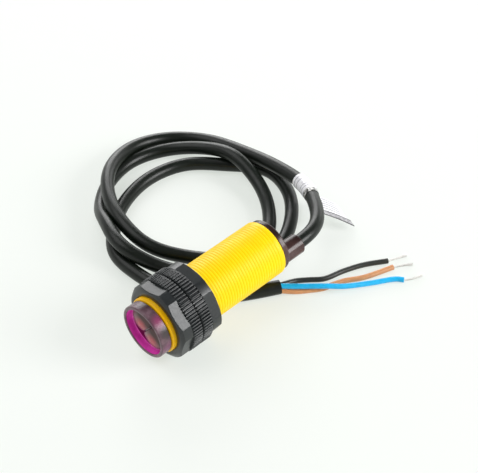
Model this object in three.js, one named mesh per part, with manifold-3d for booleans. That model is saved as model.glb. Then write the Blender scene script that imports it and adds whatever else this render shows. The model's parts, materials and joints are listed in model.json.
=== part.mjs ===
// An infrared photoelectric sensor in an 18 mm threaded barrel, with its two nuts, its works and its cable.
// Millimetres, +Z up, lying on z = 0. The sensor's axis runs along +Y, from the lenses to the cable, and it
// leans: the front nut's flange stands on the table, and the back of the barrel lies on the cable.
import * as THREE from "three";
import { mergeVertices } from "three/addons/utils/BufferGeometryUtils.js";
import Module from "manifold-3d";

const wasm = await Module();
wasm.setup();

// ---------------------------------------------------------------- driving dimensions
const GAP = 0.3; // between neighbouring pieces
const SOLDER_GAP = 0.1; // between a chip and its board
const ROUND = 60; // facets round the large turned pieces
const FINE = 24; // facets round the small ones

const THREAD_RADIUS = 9;
const BORE_RADIUS = 7.7;
const BARREL_LENGTH = 45.2;
const BARREL_EDGE = 0.4; // rounding at both ends

const NUT_LENGTH = 7.5;
const HEX_LENGTH = 3.9;
const HEX_ACROSS_FLATS = 22.5;
const HEX_CORNER_RADIUS = 12;
const HEX_CHAMFER_LENGTH = 1.6;
const FLANGE_RADIUS = 12.2;
const FLANGE_EDGE = 0.3;
const SEAM = 9; // where the two flanges meet
const FRONT_NUT = { hexEnd: SEAM - GAP / 2 - NUT_LENGTH, faceRadius: 10.6, firstFlat: 42 };
const REAR_NUT = { hexEnd: SEAM + GAP / 2 + NUT_LENGTH, faceRadius: 11.4, firstFlat: 26 };

const LENS_CAP = { radius: 8.6, recess: 7.45, front: -3.1, floor: -1, back: 0.2, spigotEnd: 3.5 };
const LENS = { radius: 3.9, height: 1, offset: 2.75, divider: 0.45 };
const SPIGOT = { outer: 7.3, inner: 6.5 };

const END_CAP = { radius: 8.5, start: 45.5, plate: 45.9, end: 47.4, skirtStart: 41.5, skirtOuter: 7.4, skirtInner: 6.6 };
const BOSS = { radius: 3.3, offset: 4.5, end: 55.5 };

const CABLE_RADIUS = 2.25;
const WIRE_RADIUS = 0.85;
const STRAND_RADIUS = 0.5;
const LEAD_RADIUS = 0.8;

const BOARD = { start: 12.4, end: 40, halfWidth: 6, halfThickness: 0.5 };
const TRIMMER = { offset: -2.8, height: 3, halfSize: 2.2, wall: 0.6, start: 34, end: 41 };

// The lean, and the roll of the lenses, the board and the boss about the sensor's axis.
const LEAN = THREE.MathUtils.degToRad(3.5);
const ROLL = THREE.MathUtils.degToRad(40);
const FLANGE_START = FRONT_NUT.hexEnd + HEX_LENGTH;
const AXIS_HEIGHT = FLANGE_RADIUS * Math.cos(LEAN) - FLANGE_START * Math.sin(LEAN);
const BOSS_DROP = BOSS.offset * Math.sin(ROLL) + BOSS.radius;
const FRONT_REACH = LENS_CAP.front * Math.cos(LEAN) - LENS_CAP.radius * Math.sin(LEAN);
const REAR_REACH = BOSS.end * Math.cos(LEAN) + BOSS_DROP * Math.sin(LEAN);
const AXIS_START = new THREE.Vector3(0, -(FRONT_REACH + REAR_REACH) / 2, AXIS_HEIGHT);

// ---------------------------------------------------------------- the cable's route, on the table
// From the boss: three loose loops that cross over each other, and out under the barrel to the cut end.
const CABLE_ROUTE = [
  [3.4, 29.8, 12.4], [3.3, 33.6, 12.5], [0.8, 40.6, 12.2], [-7.1, 47.9, 11.2], [-18.1, 53.6, 9.6],
  [-31.4, 55.1, 8], [-45.3, 55, 5.7], [-62.8, 52.5, 2.9], [-73.2, 43.3, 2.8], [-75.7, 30, 4.7],
  [-70.1, 16, 7], [-59.6, 6.1, 7.9], [-46.2, 0.3, 7.8], [-33.2, 0.4, 5.4], [-23.2, 7.5, 2.8],
  [-13.8, 17, 2.4], [-12, 30, 2.4], [-21.3, 41.6, 2.5], [-32.9, 48, 4.2], [-46.2, 49.2, 7.5],
  [-58.1, 47.2, 5], [-68.7, 39.5, 2.5], [-72.3, 26.6, 2.4], [-68.7, 13.5, 2.4], [-60.1, 3.1, 3.2],
  [-50.2, -2.8, 6.8], [-37.2, -7.1, 7.4], [-25.8, -2.5, 3.5], [-14.5, 5.2, 2.4], [-6.6, 16.5, 2.3],
  [-6.4, 30.5, 2.3], [-14.1, 44.5, 2.3], [-25.3, 54, 2.3], [-38, 56.6, 2.3], [-49.2, 48.4, 2.3],
  [-58.7, 38.7, 2.3], [-61.4, 25.1, 2.3], [-57.3, 10.6, 2.3], [-49.4, -0.2, 2.3], [-40.3, -7.4, 2.3],
  [-29.2, -8.5, 2.3], [-14, -6, 2.3], [-3.2, 3.2, 2.3], [2, 11.2, 2.3], [6.2, 19.4, 2.3],
];

// The three conductors, from the cut end of the jacket to where their insulation stops, and their bare ends.
const WIRES = {
  brown: {
    color: 0xc07a45,
    route: [
      [7.45, 19.1, 1.75], [10.25, 22.45, 1.2], [12.6, 26.2, 0.95], [14.7, 29.7, 0.9], [15.6, 33.2, 0.9],
      [16.9, 37, 0.9], [19.9, 42.5, 0.9], [22.9, 52.5, 0.9],
    ],
    tip: [[23.05, 52.8, 0.85], [24.4, 55.6, 0.7], [26, 58.4, 0.6]],
  },
  black: {
    color: 0x2b2e2b,
    route: [
      [5.4, 20.1, 2], [6.8, 25.9, 1.1], [9.2, 29.5, 0.9], [11.9, 33, 0.9], [13.6, 40.2, 0.9],
      [15.9, 46.7, 0.9], [19.8, 53.5, 0.9],
    ],
    tip: [[19.95, 53.8, 0.85], [21, 57, 0.7], [21.8, 60.2, 0.6]],
  },
  blue: {
    color: 0x2ba6e8,
    route: [
      [7, 19.4, 3.2], [10, 22.8, 3], [12.7, 26, 2.85], [16.2, 30, 2.7], [19.2, 34.3, 1.9],
      [23.2, 42.1, 1], [27.15, 49.1, 0.9], [29.15, 50.65, 0.9],
    ],
    tip: [[29.4, 50.9, 0.85], [30.7, 53.6, 0.7], [31.35, 56.95, 0.6]],
  },
};

// The three leads inside, from the tail of the cable to the board: across, along the axis, and up.
const LEADS = {
  brown: { color: 0xc07a45, route: [[4.5, 45.5, 1.1], [3.2, 43, 1.6], [3.05, 40, 1.6], [3.05, 36.5, 1.6]] },
  black: { color: 0x2b2e2b, route: [[3.55, 45.5, -0.55], [2, 43, -0.2], [1.1, 40, 1.6], [1.1, 36.5, 1.6]] },
  blue: { color: 0x2ba6e8, route: [[5.45, 45.5, -0.55], [5.4, 43, 0.3], [5, 40, 1.6], [5, 36.5, 1.6]] },
};

// The wrapped label: distances along the cable, and the flag's near edge and the way it is wide.
const LABEL = { bandStart: 26, sleeveStart: 28, sleeveEnd: 36.6, wrapRadius: 2.55, wrapThickness: 0.35 };
const FLAG_ROOT = new THREE.Vector3(-8.4, 48.3, 7.3);
const FLAG_TIP = new THREE.Vector3(1.95, 57.15, 2);
const FLAG_ACROSS = new THREE.Vector3(-0.9, 0.42, -0.13).normalize();
const FLAG_WIDTH = 12;
const FLAG_THICKNESS = 0.3;

// ---------------------------------------------------------------- shapes
// A turned piece about the sensor's axis: its outline is [radius, distance along the axis].
function turned(outline, facets = ROUND) {
  return new THREE.LatheGeometry(outline.map(([radius, along]) => new THREE.Vector2(radius, along)), facets);
}

// A rod along the sensor's axis, at a place across it.
function rod(radius, start, end, across = 0, height = 0, facets = FINE) {
  const geometry = new THREE.CylinderGeometry(radius, radius, end - start, facets);
  return geometry.translate(across, (start + end) / 2, height);
}

// A block between two opposite corners.
function block([x0, y0, z0], [x1, y1, z1]) {
  const geometry = new THREE.BoxGeometry(x1 - x0, y1 - y0, z1 - z0);
  return geometry.translate((x0 + x1) / 2, (y0 + y1) / 2, (z0 + z1) / 2);
}

function polygon(radius, sides) {
  const corners = [];
  for (let i = 0; i < sides; i++) {
    const angle = (2 * Math.PI * i) / sides;
    corners.push(new THREE.Vector2(radius * Math.cos(angle), radius * Math.sin(angle)));
  }
  return corners;
}

function curveThrough(points) {
  return new THREE.CatmullRomCurve3(points.map((p) => new THREE.Vector3(...p)), false, "centripetal");
}

// A tube along a curve, hollow where a bore is given.
function tube(curve, radius, sides, steps, bore = 0) {
  const section = new THREE.Shape(polygon(radius, sides));
  if (bore > 0) section.holes.push(new THREE.Path(polygon(bore, sides)));
  return new THREE.ExtrudeGeometry(section, { steps, extrudePath: curve, bevelEnabled: false });
}

// ---------------------------------------------------------------- joining and cutting
function toSolid(geometry) {
  const bare = geometry.clone();
  bare.deleteAttribute("normal");
  bare.deleteAttribute("uv");
  const merged = mergeVertices(bare, 1e-4);
  const vertProperties = merged.attributes.position.array;
  const triVerts = new Uint32Array(merged.index.array);
  return new wasm.Manifold(new wasm.Mesh({ numProp: 3, vertProperties, triVerts }));
}

function toGeometry(solid) {
  const { vertProperties, triVerts } = solid.getMesh();
  const geometry = new THREE.BufferGeometry();
  geometry.setAttribute("position", new THREE.BufferAttribute(vertProperties, 3));
  geometry.setIndex(new THREE.BufferAttribute(triVerts, 1));
  return geometry;
}

function combine(pieces, cuts = []) {
  let solid = toSolid(pieces[0]);
  for (const piece of pieces.slice(1)) solid = solid.add(toSolid(piece));
  for (const cut of cuts) solid = solid.subtract(toSolid(cut));
  return toGeometry(solid);
}

// ---------------------------------------------------------------- the scene graph
const part = new THREE.Group();
const sensor = new THREE.Group(); // leans with the barrel
sensor.position.copy(AXIS_START);
sensor.rotation.x = LEAN;
const works = new THREE.Group(); // x towards the boss, y along the axis, z across the board
works.rotation.y = ROLL;
sensor.add(works);
part.add(sensor);

function place(group, name, geometry, color, roughness = 0.5, metalness = 0) {
  const mesh = new THREE.Mesh(geometry, new THREE.MeshStandardMaterial({ color, roughness, metalness }));
  mesh.name = name;
  group.add(mesh);
  return mesh;
}

// ---------------------------------------------------------------- housing
function barrelShape() {
  return turned([
    [BORE_RADIUS, 0],
    [THREAD_RADIUS - BARREL_EDGE, 0],
    [THREAD_RADIUS, BARREL_EDGE],
    [THREAD_RADIUS, BARREL_LENGTH - BARREL_EDGE],
    [THREAD_RADIUS - BARREL_EDGE, BARREL_LENGTH],
    [BORE_RADIUS, BARREL_LENGTH],
    [BORE_RADIUS, 0],
  ]);
}

// A hexagon with rounded corners and a ribbed flange in one piece, made with its hexagon end at 0.
function nutShape({ hexEnd, faceRadius, firstFlat }) {
  const bore = THREAD_RADIUS + GAP;
  const body = turned([
    [bore, 0],
    [faceRadius, 0],
    [HEX_CORNER_RADIUS, HEX_CHAMFER_LENGTH],
    [HEX_CORNER_RADIUS, HEX_LENGTH],
    [FLANGE_RADIUS, HEX_LENGTH],
    [FLANGE_RADIUS, NUT_LENGTH - FLANGE_EDGE],
    [FLANGE_RADIUS - FLANGE_EDGE, NUT_LENGTH],
    [bore, NUT_LENGTH],
    [bore, 0],
  ]);
  const flats = [];
  for (let i = 0; i < 6; i++) {
    const flat = block([HEX_ACROSS_FLATS / 2, -1, -FLANGE_RADIUS], [2 * FLANGE_RADIUS, HEX_LENGTH, FLANGE_RADIUS]);
    flats.push(flat.rotateY((-i * Math.PI) / 3));
  }
  const nut = combine([body], flats);
  const facesForward = hexEnd < SEAM;
  if (!facesForward) nut.rotateX(Math.PI);
  nut.rotateY(-THREE.MathUtils.degToRad(firstFlat));
  return nut.translate(0, hexEnd, 0);
}

// Half of a round lens each side of the divider: a low dome cut straight along its inner edge.
function lensShape(side) {
  const dome = new THREE.SphereGeometry(1, FINE, 12);
  dome.scale(LENS.radius, LENS.height, LENS.radius);
  dome.translate(side * LENS.offset, LENS_CAP.floor, 0);
  const reach = 2 * LENS.radius;
  const beyondDivider = block([-reach, -reach, -reach], [LENS.divider, reach, reach]);
  if (side < 0) beyondDivider.rotateY(Math.PI);
  const behindFloor = block([-3 * reach, LENS_CAP.floor + GAP, -reach], [3 * reach, reach, reach]);
  return combine([dome], [beyondDivider, behindFloor]);
}

function lensCapShape() {
  const { radius, recess, front, floor, back, spigotEnd } = LENS_CAP;
  const edge = 0.15;
  const cup = turned([
    [0, floor],
    [recess, floor],
    [recess, front + edge],
    [recess + edge, front],
    [radius - edge, front],
    [radius, front + edge],
    [radius, -GAP],
    [SPIGOT.outer, -GAP],
    [SPIGOT.outer, spigotEnd],
    [SPIGOT.inner, spigotEnd],
    [SPIGOT.inner, back],
    [0, back],
  ]);
  const divider = block([-0.2, floor - 0.6, -recess], [0.2, floor + GAP, recess]);
  return combine([cup, lensShape(1), lensShape(-1), divider]);
}

function endCapShape() {
  const { radius, start, plate, end, skirtStart, skirtOuter, skirtInner } = END_CAP;
  const edge = 0.4;
  const cap = turned([
    [0, plate],
    [skirtInner, plate],
    [skirtInner, skirtStart],
    [skirtOuter, skirtStart],
    [skirtOuter, start],
    [radius, start],
    [radius, end - edge],
    [radius - edge, end],
    [0, end],
  ]);
  const boss = rod(BOSS.radius, plate + GAP, BOSS.end, BOSS.offset);
  const cableBore = rod(CABLE_RADIUS + GAP, plate - 1, BOSS.end + 1, BOSS.offset);
  const trimmerHole = rod(1.5, plate - 1, end + 1, TRIMMER.offset, TRIMMER.height);
  return combine([cap, boss], [cableBore, trimmerHole]);
}

place(sensor, "barrel", barrelShape(), 0xffcc14, 0.35);
place(sensor, "front_nut", nutShape(FRONT_NUT), 0x4a4f4f, 0.5);
place(sensor, "rear_nut", nutShape(REAR_NUT), 0x4a4f4f, 0.5);
place(works, "lens_cap", lensCapShape(), 0x7a3a60, 0.2);
place(works, "end_cap", endCapShape(), 0x4b3734, 0.25);

// ---------------------------------------------------------------- optics
const EYE_OFFSET = 3.3;
const EYE_RADIUS = 2.4;
const HOLDER = { start: 3.9, end: 11.5 };

function opticsHolderShape() {
  const body = rod(SPIGOT.outer, HOLDER.start, HOLDER.end, 0, 0, ROUND);
  const bores = [-1, 1].map((side) => {
    return rod(EYE_RADIUS + GAP, HOLDER.start - 1, HOLDER.end + 1, side * EYE_OFFSET);
  });
  return combine([body], bores);
}

// A 5 mm two-legged package looking forwards, with its legs either side of the board's edge.
function eyeShape(across, noseLength) {
  const shoulder = 7.4;
  const flange = HOLDER.end + GAP;
  const outline = [[0, shoulder - noseLength]];
  for (let i = 1; i <= 6; i++) {
    const angle = (i * Math.PI) / 12;
    outline.push([EYE_RADIUS * Math.sin(angle), shoulder - noseLength * Math.cos(angle)]);
  }
  outline.push([EYE_RADIUS, flange], [EYE_RADIUS + 0.5, flange], [EYE_RADIUS + 0.5, flange + GAP], [0, flange + GAP]);
  const body = turned(outline, FINE).translate(across, 0, 0);
  const legs = [-1.05, 1.05].map((height) => {
    return block([across - 0.25, flange, height - 0.25], [across + 0.25, BOARD.start + 3, height + 0.25]);
  });
  return combine([body, ...legs]);
}

place(works, "optics_holder", opticsHolderShape(), 0x1c1c1e, 0.6);
place(works, "emitter_led", eyeShape(-EYE_OFFSET, 2.4), 0x5a4a78, 0.2);
place(works, "receiver_photodiode", eyeShape(EYE_OFFSET, 0.8), 0x161018, 0.2);

// ---------------------------------------------------------------- the board and what is soldered on it
// A chip lies on the board's upper or lower face, centred across it and along it.
function chipSpan(face, size, across, along) {
  const near = BOARD.halfThickness + SOLDER_GAP;
  const [width, length, height] = size;
  const low = face > 0 ? near : -near - height;
  return [
    [across - width / 2, along - length / 2, low],
    [across + width / 2, along + length / 2, low + height],
  ];
}

// A moulded package with a row of bent legs along each long side.
function leggedChip(face, size, across, along, legsPerSide) {
  const [width, length] = size;
  const [low, high] = chipSpan(face, size, across, along);
  const legs = [];
  for (const side of [-1, 1]) {
    for (let i = 0; i < legsPerSide; i++) {
      const at = along + (length * (i + 0.5)) / legsPerSide - length / 2;
      legs.push(chipSpan(face, [0.9, 0.4, 0.3], across + (side * (width + 0.6)) / 2, at));
    }
  }
  return combine([block(low, high), ...legs.map(([a, b]) => block(a, b))]);
}

function boardShape() {
  const { start, end, halfWidth, halfThickness } = BOARD;
  return block([-halfWidth, start, -halfThickness], [halfWidth, end, halfThickness]);
}

function electrolyticShape() {
  const radius = 2;
  const height = -(BOARD.halfThickness + SOLDER_GAP + radius);
  const can = turned(
    [[0, 18], [1.7, 18], [radius, 18.3], [radius, 19], [radius - 0.15, 19.2], [radius, 19.4], [radius, 23], [0, 23]],
    FINE,
  );
  return can.translate(0, 0, height);
}

place(works, "circuit_board", boardShape(), 0x1d6b3a, 0.5);
place(works, "signal_ic", leggedChip(1, [4, 5, 1.6], 0, 23, 4), 0x1a1a1a, 0.5);
place(works, "output_transistor", leggedChip(1, [1.6, 2.9, 1.1], 2.6, 31, 2), 0x1a1a1a, 0.5);
place(works, "voltage_regulator", leggedChip(-1, [2.5, 4.5, 1.5], 0, 29, 3), 0x1a1a1a, 0.5);
place(works, "electrolytic_capacitor", electrolyticShape(), 0xb9bcc0, 0.3, 0.8);
const CHIP_SIZE = [0.8, 1.6, 0.6];
[-3.4, 3.4].forEach((across, i) => {
  place(works, `ceramic_capacitor_${i + 1}`, block(...chipSpan(1, CHIP_SIZE, across, 17.5)), 0xb08a5a, 0.4);
});
[-3.6, -1.6, 0.2, 4.6].forEach((across, i) => {
  place(works, `resistor_${i + 1}`, block(...chipSpan(1, CHIP_SIZE, across, 28.4)), 0x202022, 0.4);
});
place(works, "indicator_led", block(...chipSpan(-1, [1.2, 2, 0.8], 2.5, 38)), 0xd02020, 0.2);

// ---------------------------------------------------------------- the sensitivity trimmer
const SCREW = { shaft: 0.6, clearance: 0.9, head: 1.2, headStart: 41.4, headEnd: 46.9 };
const WIPER = { length: 1.6, middle: 37.5 };

function trimmerHousingShape() {
  const { offset, height, halfSize, wall, start, end } = TRIMMER;
  const inside = halfSize - wall;
  const shell = block([offset - halfSize, start, height - halfSize], [offset + halfSize, end, height + halfSize]);
  const hollow = block(
    [offset - inside, start + wall, height - inside],
    [offset + inside, end - wall, height + inside],
  );
  const mouth = rod(SCREW.clearance, end - 2 * wall, end + 1, offset, height, 16);
  return combine([shell], [hollow, mouth]);
}

function trimmerScrewShape() {
  const slotDepth = 0.6;
  const slotHalfWidth = 0.2;
  const shaft = rod(SCREW.shaft, TRIMMER.start + TRIMMER.wall + GAP, SCREW.headStart + GAP, 0, 0, 16);
  const head = rod(SCREW.head, SCREW.headStart, SCREW.headEnd);
  const slot = block([-2, SCREW.headEnd - slotDepth, -slotHalfWidth], [2, SCREW.headEnd + 1, slotHalfWidth]);
  return combine([shaft, head], [slot]).translate(TRIMMER.offset, 0, TRIMMER.height);
}

function trimmerWiperShape() {
  const half = TRIMMER.halfSize - TRIMMER.wall - GAP;
  const start = WIPER.middle - WIPER.length / 2;
  const end = WIPER.middle + WIPER.length / 2;
  const carriage = block([-half, start, -half], [half, end, half]);
  const threadHole = rod(SCREW.clearance, start - 1, end + 1, 0, 0, 16);
  return combine([carriage], [threadHole]).translate(TRIMMER.offset, 0, TRIMMER.height);
}

place(works, "trimmer_housing", trimmerHousingShape(), 0x2f63b8, 0.4);
place(works, "trimmer_screw", trimmerScrewShape(), 0xb08d3c, 0.3, 1);
place(works, "trimmer_wiper", trimmerWiperShape(), 0xe6e2d8, 0.5);

// ---------------------------------------------------------------- the cable's inner end
place(works, "cable_tail", rod(CABLE_RADIUS, END_CAP.plate - 0.1, BOSS.end, BOSS.offset), 0x161b17, 0.35);
for (const [name, { color, route }] of Object.entries(LEADS)) {
  place(works, `lead_${name}`, tube(curveThrough(route), LEAD_RADIUS, 8, 12), color, 0.4);
}

// ---------------------------------------------------------------- the free cable, its wires and its label
const cable = curveThrough(CABLE_ROUTE);
place(part, "cable_jacket", tube(cable, CABLE_RADIUS, 10, 80), 0x161b17, 0.35);
for (const [name, { color, route, tip }] of Object.entries(WIRES)) {
  place(part, `wire_${name}`, tube(curveThrough(route), WIRE_RADIUS, 8, 16), color, 0.4);
  place(part, `tip_${name}`, tube(curveThrough(tip), STRAND_RADIUS, 8, 3), 0xc8c8c4, 0.3, 1);
}

// The stretch of the cable between two distances along it, as a curve of its own.
function stretchOfCable(start, end) {
  const total = cable.getLength();
  const points = [];
  for (let i = 0; i <= 6; i++) points.push(cable.getPointAt((start + ((end - start) * i) / 6) / total).toArray());
  return curveThrough(points);
}

function wrapShape(start, end, thickness) {
  return tube(stretchOfCable(start, end), LABEL.wrapRadius + thickness, 16, 6, LABEL.wrapRadius);
}

// A thin slanted sheet from under the cable down to the table, with its edges along the cable.
function flagShape() {
  const along = FLAG_TIP.clone().sub(FLAG_ROOT);
  const length = along.length();
  along.normalize();
  const lean = FLAG_ACROSS.dot(along);
  const square = FLAG_ACROSS.clone().addScaledVector(along, -lean);
  const rise = square.length() * FLAG_WIDTH;
  square.normalize();
  const normal = along.clone().cross(square);
  const slant = lean * FLAG_WIDTH;
  const outline = new THREE.Shape([
    new THREE.Vector2(0, 0),
    new THREE.Vector2(length, 0),
    new THREE.Vector2(length + slant, rise),
    new THREE.Vector2(slant, rise),
  ]);
  const sheet = new THREE.ExtrudeGeometry(outline, { depth: FLAG_THICKNESS, bevelEnabled: false });
  sheet.translate(0, 0, -FLAG_THICKNESS / 2);
  const frame = new THREE.Matrix4().makeBasis(along, square, normal).setPosition(FLAG_ROOT);
  return sheet.applyMatrix4(frame);
}

place(part, "label_sleeve", wrapShape(LABEL.sleeveStart, LABEL.sleeveEnd, LABEL.wrapThickness), 0xf4f4f2, 0.4);
place(part, "label_band", wrapShape(LABEL.bandStart, LABEL.sleeveStart - GAP, 0.25), 0x9a9c98, 0.15);
place(part, "label_flag", flagShape(), 0xf2f2f0, 0.35);

export default part;
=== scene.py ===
import json
import math

import bmesh
import bpy
import numpy as np
from mathutils import Matrix, Vector


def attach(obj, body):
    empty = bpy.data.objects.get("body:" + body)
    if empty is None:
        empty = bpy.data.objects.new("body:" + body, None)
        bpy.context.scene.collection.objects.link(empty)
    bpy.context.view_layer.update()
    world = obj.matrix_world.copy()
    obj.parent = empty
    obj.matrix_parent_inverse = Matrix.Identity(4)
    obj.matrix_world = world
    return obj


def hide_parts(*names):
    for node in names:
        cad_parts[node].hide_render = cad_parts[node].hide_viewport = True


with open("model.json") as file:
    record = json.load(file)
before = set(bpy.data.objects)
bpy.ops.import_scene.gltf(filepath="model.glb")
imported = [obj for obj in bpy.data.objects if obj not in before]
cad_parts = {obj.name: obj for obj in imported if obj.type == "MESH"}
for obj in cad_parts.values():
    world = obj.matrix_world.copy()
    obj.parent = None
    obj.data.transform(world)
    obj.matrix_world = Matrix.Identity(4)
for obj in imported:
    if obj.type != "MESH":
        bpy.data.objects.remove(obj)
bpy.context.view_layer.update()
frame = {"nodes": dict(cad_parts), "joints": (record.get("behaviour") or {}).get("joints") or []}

MM = 0.001
TAU = 2 * math.pi
joints = {joint["name"]: joint for joint in frame["joints"]}

# ---------------------------------------------------------------- where the sensor is
# The nuts' hinge gives the barrel's axis; its point is 5 mm behind the barrel's front edge.
NUT_HINGE_FROM_FRONT = 5.0
AXIS = Vector(joints["front_nut_turn"]["axis"]).normalized()
FRONT = Vector(joints["front_nut_turn"]["pos_m"]) - AXIS * NUT_HINGE_FROM_FRONT * MM
LEAN = math.atan2(AXIS.z, AXIS.y)
ROLL = math.radians(40)  # of the lenses, the board and the cable's boss about the axis
SENSOR = Matrix.Translation(FRONT) @ Matrix.Rotation(LEAN, 4, "X") @ Matrix.Scale(MM, 4)
WORKS = SENSOR @ Matrix.Rotation(ROLL, 4, "Y")
TABLE = Matrix.Scale(MM, 4)  # row frame, from millimetres

# ---------------------------------------------------------------- sizes, in millimetres
BARREL = {"radius": 9.0, "bore": 7.7, "length": 45.2}
THREAD = {"pitch": 1.0, "depth": 0.1, "nose": 2.6, "tail": 1.3, "valley_width": 0.18, "rows_per_pitch": 12}
NUT = {"length": 7.5, "hex": 3.9, "flat": 11.25, "corner": 12.0, "flange": 12.2, "bore": 9.06, "ribs": 72}
SEAM = 9.0
SEAM_GAP = 0.3
FRONT_NUT = {"hex_end": SEAM - SEAM_GAP / 2 - NUT["length"], "forward": True, "face": 10.7, "flat_angle": 42}
REAR_NUT = {"hex_end": SEAM + SEAM_GAP / 2 + NUT["length"], "forward": False, "face": 11.2, "flat_angle": 26}
LENS_CAP = {"radius": 8.6, "recess": 7.45, "front": -3.7, "floor": -1.2}
LENS = {"radius": 4.15, "offset": 2.85, "divider": 0.25, "height": 1.5}
END_CAP = {"radius": 8.5, "start": 45.5, "end": 47.4}
BOSS = {"radius": 3.3, "offset": 4.5, "end": 55.5, "bore": 2.5}
TRIMMER = {"across": -2.8, "height": 3.0, "hole": 1.5}
CABLE_RADIUS = 2.25
WIRE_RADIUS = 0.85

# ---------------------------------------------------------------- the cable's route, as in the CAD model
CABLE_ROUTE = [
    (3.4, 29.8, 12.4), (3.3, 33.6, 12.5), (0.8, 40.6, 12.2), (-7.1, 47.9, 11.2), (-18.1, 53.6, 9.6),
    (-31.4, 55.1, 8), (-45.3, 55, 5.7), (-62.8, 52.5, 2.9), (-73.2, 43.3, 2.8), (-75.7, 30, 4.7),
    (-70.1, 16, 7), (-59.6, 6.1, 7.9), (-46.2, 0.3, 7.8), (-33.2, 0.4, 5.4), (-23.2, 7.5, 2.8),
    (-13.8, 17, 2.4), (-12, 30, 2.4), (-21.3, 41.6, 2.5), (-32.9, 48, 4.2), (-46.2, 49.2, 7.5),
    (-58.1, 47.2, 5), (-68.7, 39.5, 2.5), (-72.3, 26.6, 2.4), (-68.7, 13.5, 2.4), (-60.1, 3.1, 3.2),
    (-50.2, -2.8, 6.8), (-37.2, -7.1, 7.4), (-25.8, -2.5, 3.5), (-14.5, 5.2, 2.4), (-6.6, 16.5, 2.3),
    (-6.4, 30.5, 2.3), (-14.1, 44.5, 2.3), (-25.3, 54, 2.3), (-38, 56.6, 2.3), (-49.2, 48.4, 2.3),
    (-58.7, 38.7, 2.3), (-61.4, 25.1, 2.3), (-57.3, 10.6, 2.3), (-49.4, -0.2, 2.3), (-40.3, -7.4, 2.3),
    (-29.2, -8.5, 2.3), (-14, -6, 2.3), (-3.2, 3.2, 2.3), (2, 11.2, 2.3), (6.2, 19.4, 2.3),
]
WIRES = {
    "brown": [
        (7.45, 19.1, 1.75), (10.25, 22.45, 1.2), (12.6, 26.2, 0.95), (14.7, 29.7, 0.9), (15.6, 33.2, 0.9),
        (16.9, 37, 0.9), (19.9, 42.5, 0.9), (22.9, 52.5, 0.9),
    ],
    "black": [
        (5.4, 20.1, 2), (6.8, 25.9, 1.1), (9.2, 29.5, 0.9), (11.9, 33, 0.9), (13.6, 40.2, 0.9),
        (15.9, 46.7, 0.9), (19.8, 53.5, 0.9),
    ],
    "blue": [
        (7, 19.4, 3.2), (10, 22.8, 3), (12.7, 26, 2.85), (16.2, 30, 2.7), (19.2, 34.3, 1.9),
        (23.2, 42.1, 1), (27.15, 49.1, 0.9), (29.15, 50.65, 0.9),
    ],
}
TIPS = {
    "brown": [(23.05, 52.8, 0.85), (24.4, 55.6, 0.7), (26, 58.4, 0.6)],
    "black": [(19.95, 53.8, 0.85), (21, 57, 0.7), (21.8, 60.2, 0.6)],
    "blue": [(29.4, 50.9, 0.85), (30.7, 53.6, 0.7), (31.35, 56.95, 0.6)],
}
LABEL = {"band": 26.0, "sleeve": 27.9, "end": 36.6, "bore": 2.3, "film": 0.14, "paper": 0.3}
FLAG_ROOT = np.array([-8.4, 48.3, 7.3])
FLAG_TIP = np.array([1.95, 57.15, 2.0])
FLAG_ACROSS = np.array([-0.9, 0.42, -0.13])
FLAG_WIDTH = 12.0


# ---------------------------------------------------------------- camera
def make_camera():
    """The camera looks down at the table from the front right."""
    target = Vector((-9.24, 16.85, 14.48)) * MM
    azimuth = math.radians(46.74)
    elevation = math.radians(41.09)
    distance = 450 * MM
    back = Vector((
        math.sin(azimuth) * math.cos(elevation),
        -math.cos(azimuth) * math.cos(elevation),
        math.sin(elevation),
    ))
    data = bpy.data.cameras.new("camera")
    data.sensor_width = 36
    data.lens = 111.07
    data.clip_start = 0.01
    camera = bpy.data.objects.new("camera", data)
    camera.location = target + back * distance
    camera.rotation_euler = back.to_track_quat("Z", "Y").to_euler()
    bpy.context.scene.collection.objects.link(camera)
    bpy.context.scene.camera = camera


make_camera()


# ---------------------------------------------------------------- curves
def smooth_line(points, per_span=12):
    """A centripetal Catmull-Rom curve through the points, as three.js draws it."""
    knots = [np.asarray(p, float) for p in points]
    knots = [2 * knots[0] - knots[1], *knots, 2 * knots[-1] - knots[-2]]
    line = []
    for p0, p1, p2, p3 in zip(knots, knots[1:], knots[2:], knots[3:]):
        d0, d1, d2 = (np.linalg.norm(b - a) ** 0.5 for a, b in ((p0, p1), (p1, p2), (p2, p3)))
        t1 = ((p1 - p0) / d0 - (p2 - p0) / (d0 + d1) + (p2 - p1) / d1) * d1
        t2 = ((p2 - p1) / d1 - (p3 - p1) / (d1 + d2) + (p3 - p2) / d2) * d1
        for i in range(per_span):
            t = i / per_span
            cubic = (2 * p1 - 2 * p2 + t1 + t2) * t**3
            line.append(p1 + t1 * t + (3 * p2 - 3 * p1 - 2 * t1 - t2) * t**2 + cubic)
    line.append(knots[-2])
    return np.array(line)


def eased(line, reach=2.5):
    """The line with its small corners evened out over a few millimetres, and with its ends held."""
    even = stretch(line, 0, distances(line)[-1], len(line))
    step = distances(even)[1]
    half = int(3 * reach / step)
    weights = np.exp(-0.5 * (np.arange(-half, half + 1) * step / reach) ** 2)
    weights /= weights.sum()
    before = 2 * even[0] - even[half:0:-1]
    after = 2 * even[-1] - even[-2:-half - 2:-1]
    padded = np.concatenate([before, even, after])
    smooth = np.stack([np.convolve(padded[:, k], weights, "valid") for k in range(3)], axis=1)
    hold = np.clip(np.arange(len(even)) * step / 12, 0, 1)[:, None]
    return even * (1 - hold) + smooth * hold


def distances(line):
    steps = np.linalg.norm(np.diff(line, axis=0), axis=1)
    return np.concatenate([[0], np.cumsum(steps)])


def stretch(line, start, end, count):
    """Points evenly spaced between two distances along a line."""
    along = distances(line)
    wanted = np.linspace(start, end, count)
    return np.stack([np.interp(wanted, along, line[:, k]) for k in range(3)], axis=1)


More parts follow.
